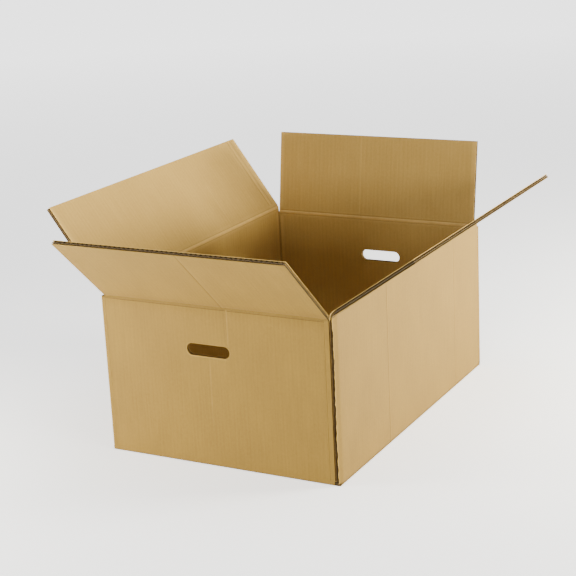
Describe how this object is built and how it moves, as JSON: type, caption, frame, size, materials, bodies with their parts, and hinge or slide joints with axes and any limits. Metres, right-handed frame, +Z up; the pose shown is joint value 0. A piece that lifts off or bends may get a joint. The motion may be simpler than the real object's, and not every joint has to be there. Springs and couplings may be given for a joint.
{
  "type": "archival box",
  "caption": "Rectangular corrugated carton with hinged top and bottom flaps, a glued corner joint and hand holes, for storing and carrying files and books.",
  "frame": {"origin": "centre of the underside, where the outer bottom flaps meet the floor", "axes": "+X to the right wall, +Y to the back wall along the length, +Z up"},
  "size_m": [0.6175, 0.7232, 0.4024],
  "materials": {
    "kraft_panel": "matte",
    "kraft_flap": "matte",
    "kraft_bottom": "matte",
    "adhesive": "matte"
  },
  "bodies": {
    "carton": {"front_panel": "kraft_panel", "right_panel": "kraft_panel", "back_panel": "kraft_panel", "left_panel": "kraft_panel", "corner_fold_front_left": "kraft_panel", "corner_fold_back_left": "kraft_panel", "corner_fold_back_right": "kraft_panel", "tab_fold": "kraft_panel", "glue_tab": "kraft_panel", "glue_line": "adhesive"},
    "top_front": {"top_flap_front": "kraft_flap"},
    "top_right": {"top_flap_right": "kraft_flap"},
    "top_back": {"top_flap_back": "kraft_flap"},
    "top_left": {"top_flap_left": "kraft_flap"},
    "bottom_front": {"bottom_flap_front": "kraft_bottom"},
    "bottom_right": {"bottom_flap_right": "kraft_bottom"},
    "bottom_back": {"bottom_flap_back": "kraft_bottom"},
    "bottom_left": {"bottom_flap_left": "kraft_bottom"}
  },
  "joints": [
    {"name": "top_front_crease", "type": "hinge", "parent": "carton", "child": "top_front", "pos_m": [0, -0.2903, 0.256], "axis": [1, 0, 0], "range_deg": [-137, 128]},
    {"name": "top_right_crease", "type": "hinge", "parent": "carton", "child": "top_right", "pos_m": [0.2003, 0, 0.263], "axis": [0, 1, 0], "range_deg": [-145.5, 119.5]},
    {"name": "top_back_crease", "type": "hinge", "parent": "carton", "child": "top_back", "pos_m": [0, 0.2903, 0.256], "axis": [-1, 0, 0], "range_deg": [-98.5, 166.5]},
    {"name": "top_left_crease", "type": "hinge", "parent": "carton", "child": "top_left", "pos_m": [-0.2003, 0, 0.263], "axis": [0, -1, 0], "range_deg": [-126, 139]},
    {"name": "bottom_front_crease", "type": "hinge", "parent": "carton", "child": "bottom_front", "pos_m": [0, -0.2834, 0.0138], "axis": [1, 0, 0], "range_deg": [0, 85]},
    {"name": "bottom_right_crease", "type": "hinge", "parent": "carton", "child": "bottom_right", "pos_m": [0.2003, 0, -0.0003], "axis": [0, -1, 0], "range_deg": [0, 180]},
    {"name": "bottom_back_crease", "type": "hinge", "parent": "carton", "child": "bottom_back", "pos_m": [0, 0.2834, 0.0138], "axis": [-1, 0, 0], "range_deg": [0, 85]},
    {"name": "bottom_left_crease", "type": "hinge", "parent": "carton", "child": "bottom_left", "pos_m": [-0.2003, 0, -0.0003], "axis": [0, 1, 0], "range_deg": [0, 180]}
  ]
}
